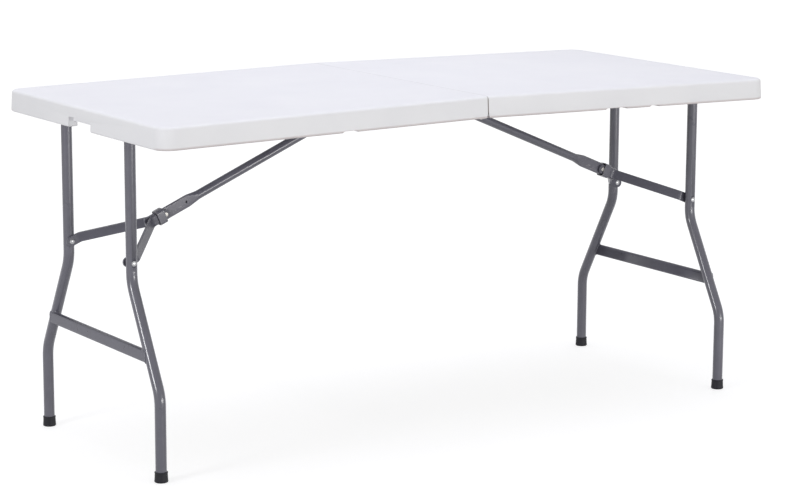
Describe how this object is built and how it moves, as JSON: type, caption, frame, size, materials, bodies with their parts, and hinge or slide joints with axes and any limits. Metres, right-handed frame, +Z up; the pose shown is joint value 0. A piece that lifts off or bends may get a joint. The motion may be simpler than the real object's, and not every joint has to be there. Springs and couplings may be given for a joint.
{
  "type": "folding table",
  "caption": "Fold-in-half trestle table: moulded white top in hinged halves, wishbone steel leg frames, folding braces with sliding lock rings.",
  "frame": {"origin": "on the floor, under the middle of the fold", "axes": "+X along the table's length, +Y from the front edge to the back edge, +Z up"},
  "size_m": [1.5242, 0.7106, 0.738],
  "materials": {
    "top_plastic": "white blow-moulded polyethylene with a fine moulded grain, satin",
    "coated_steel": "grey powder coat on steel tube, semi-gloss",
    "zinc_steel": "zinc-plated steel, dull",
    "bright_steel": "plated steel fasteners, bright",
    "foot_plastic": "black polyethylene cap, matt",
    "bush_plastic": "dark nylon bush"
  },
  "bodies": {
    "left_half": {"left_bracket_screws": "bright_steel", "left_far_rail": "coated_steel", "left_near_rail": "coated_steel", "left_panel": "top_plastic", "left_pivot_bushes": "bush_plastic", "left_rail_screws": "bright_steel", "left_strut_brackets": "zinc_steel", "left_strut_pin": "bright_steel", "near_hinge_tongue": "zinc_steel", "far_hinge_tongue": "zinc_steel"},
    "left_leg_frame": {"left_crossbar": "coated_steel", "left_far_foot_cap": "foot_plastic", "left_far_leg": "coated_steel", "left_far_pivot_tube": "coated_steel", "left_leg_rivets": "bright_steel", "left_near_foot_cap": "foot_plastic", "left_near_leg": "coated_steel", "left_near_pivot_tube": "coated_steel"},
    "left_strut": {"left_strut": "coated_steel"},
    "left_fork": {"left_near_fork_bar": "coated_steel", "left_far_fork_bar": "coated_steel", "left_fork_rivets": "bright_steel", "left_elbow_pin": "bright_steel"},
    "left_ring": {"left_lock_ring": "coated_steel"},
    "right_half": {"right_bracket_screws": "bright_steel", "right_far_rail": "coated_steel", "right_near_rail": "coated_steel", "right_panel": "top_plastic", "right_pivot_bushes": "bush_plastic", "right_rail_screws": "bright_steel", "right_strut_brackets": "zinc_steel", "right_strut_pin": "bright_steel", "near_hinge_fork": "zinc_steel", "far_hinge_fork": "zinc_steel", "near_hinge_pin": "bright_steel", "far_hinge_pin": "bright_steel"},
    "right_leg_frame": {"right_crossbar": "coated_steel", "right_far_foot_cap": "foot_plastic", "right_far_leg": "coated_steel", "right_far_pivot_tube": "coated_steel", "right_leg_rivets": "bright_steel", "right_near_foot_cap": "foot_plastic", "right_near_leg": "coated_steel", "right_near_pivot_tube": "coated_steel"},
    "right_strut": {"right_strut": "coated_steel"},
    "right_fork": {"right_near_fork_bar": "coated_steel", "right_far_fork_bar": "coated_steel", "right_fork_rivets": "bright_steel", "right_elbow_pin": "bright_steel"},
    "right_ring": {"right_lock_ring": "coated_steel"}
  },
  "joints": [
    {"name": "centre_fold", "type": "hinge", "parent": "left_half", "child": "right_half", "pos_m": [0, 0, 0.692], "axis": [0, 1, 0], "range_deg": [0, 85]},
    {"name": "left_leg_fold", "type": "hinge", "parent": "left_half", "child": "left_leg_frame", "pos_m": [-0.722, 0, 0.69609], "axis": [0, -1, 0], "range_deg": [0, 90.83]},
    {"name": "left_strut_swing", "type": "hinge", "parent": "left_half", "child": "left_strut", "pos_m": [-0.04067, 0, 0.71451], "axis": [0, -1, 0], "range_deg": [-22.15, 0]},
    {"name": "left_elbow", "type": "hinge", "parent": "left_strut", "child": "left_fork", "pos_m": [-0.57127, 0, 0.49067], "axis": [0, -1, 0], "range_deg": [0, 177.09]},
    {"name": "left_ring_slide", "type": "slide", "parent": "left_strut", "child": "left_ring", "axis": [0.9214, 0, 0.3887], "range_m": [0, 0.25459]},
    {"name": "right_leg_fold", "type": "hinge", "parent": "right_half", "child": "right_leg_frame", "pos_m": [0.722, 0, 0.69609], "axis": [0, 1, 0], "range_deg": [0, 90.83]},
    {"name": "right_strut_swing", "type": "hinge", "parent": "right_half", "child": "right_strut", "pos_m": [0.04067, 0, 0.71451], "axis": [0, 1, 0], "range_deg": [-22.15, 0]},
    {"name": "right_elbow", "type": "hinge", "parent": "right_strut", "child": "right_fork", "pos_m": [0.57127, 0, 0.49067], "axis": [0, 1, 0], "range_deg": [0, 177.09]},
    {"name": "right_ring_slide", "type": "slide", "parent": "right_strut", "child": "right_ring", "axis": [-0.9214, 0, 0.3887], "range_m": [0, 0.25459]}
  ],
  "couplings": [
    {"joint": "left_strut_swing", "follows": "left_leg_fold", "ratio": -0.24274},
    {"joint": "left_elbow", "follows": "left_leg_fold", "ratio": 1.9486},
    {"joint": "left_ring_slide", "follows": "left_leg_fold", "m_per_rad": 0.16043},
    {"joint": "right_strut_swing", "follows": "right_leg_fold", "ratio": -0.24274},
    {"joint": "right_elbow", "follows": "right_leg_fold", "ratio": 1.9486},
    {"joint": "right_ring_slide", "follows": "right_leg_fold", "m_per_rad": 0.16043}
  ]
}
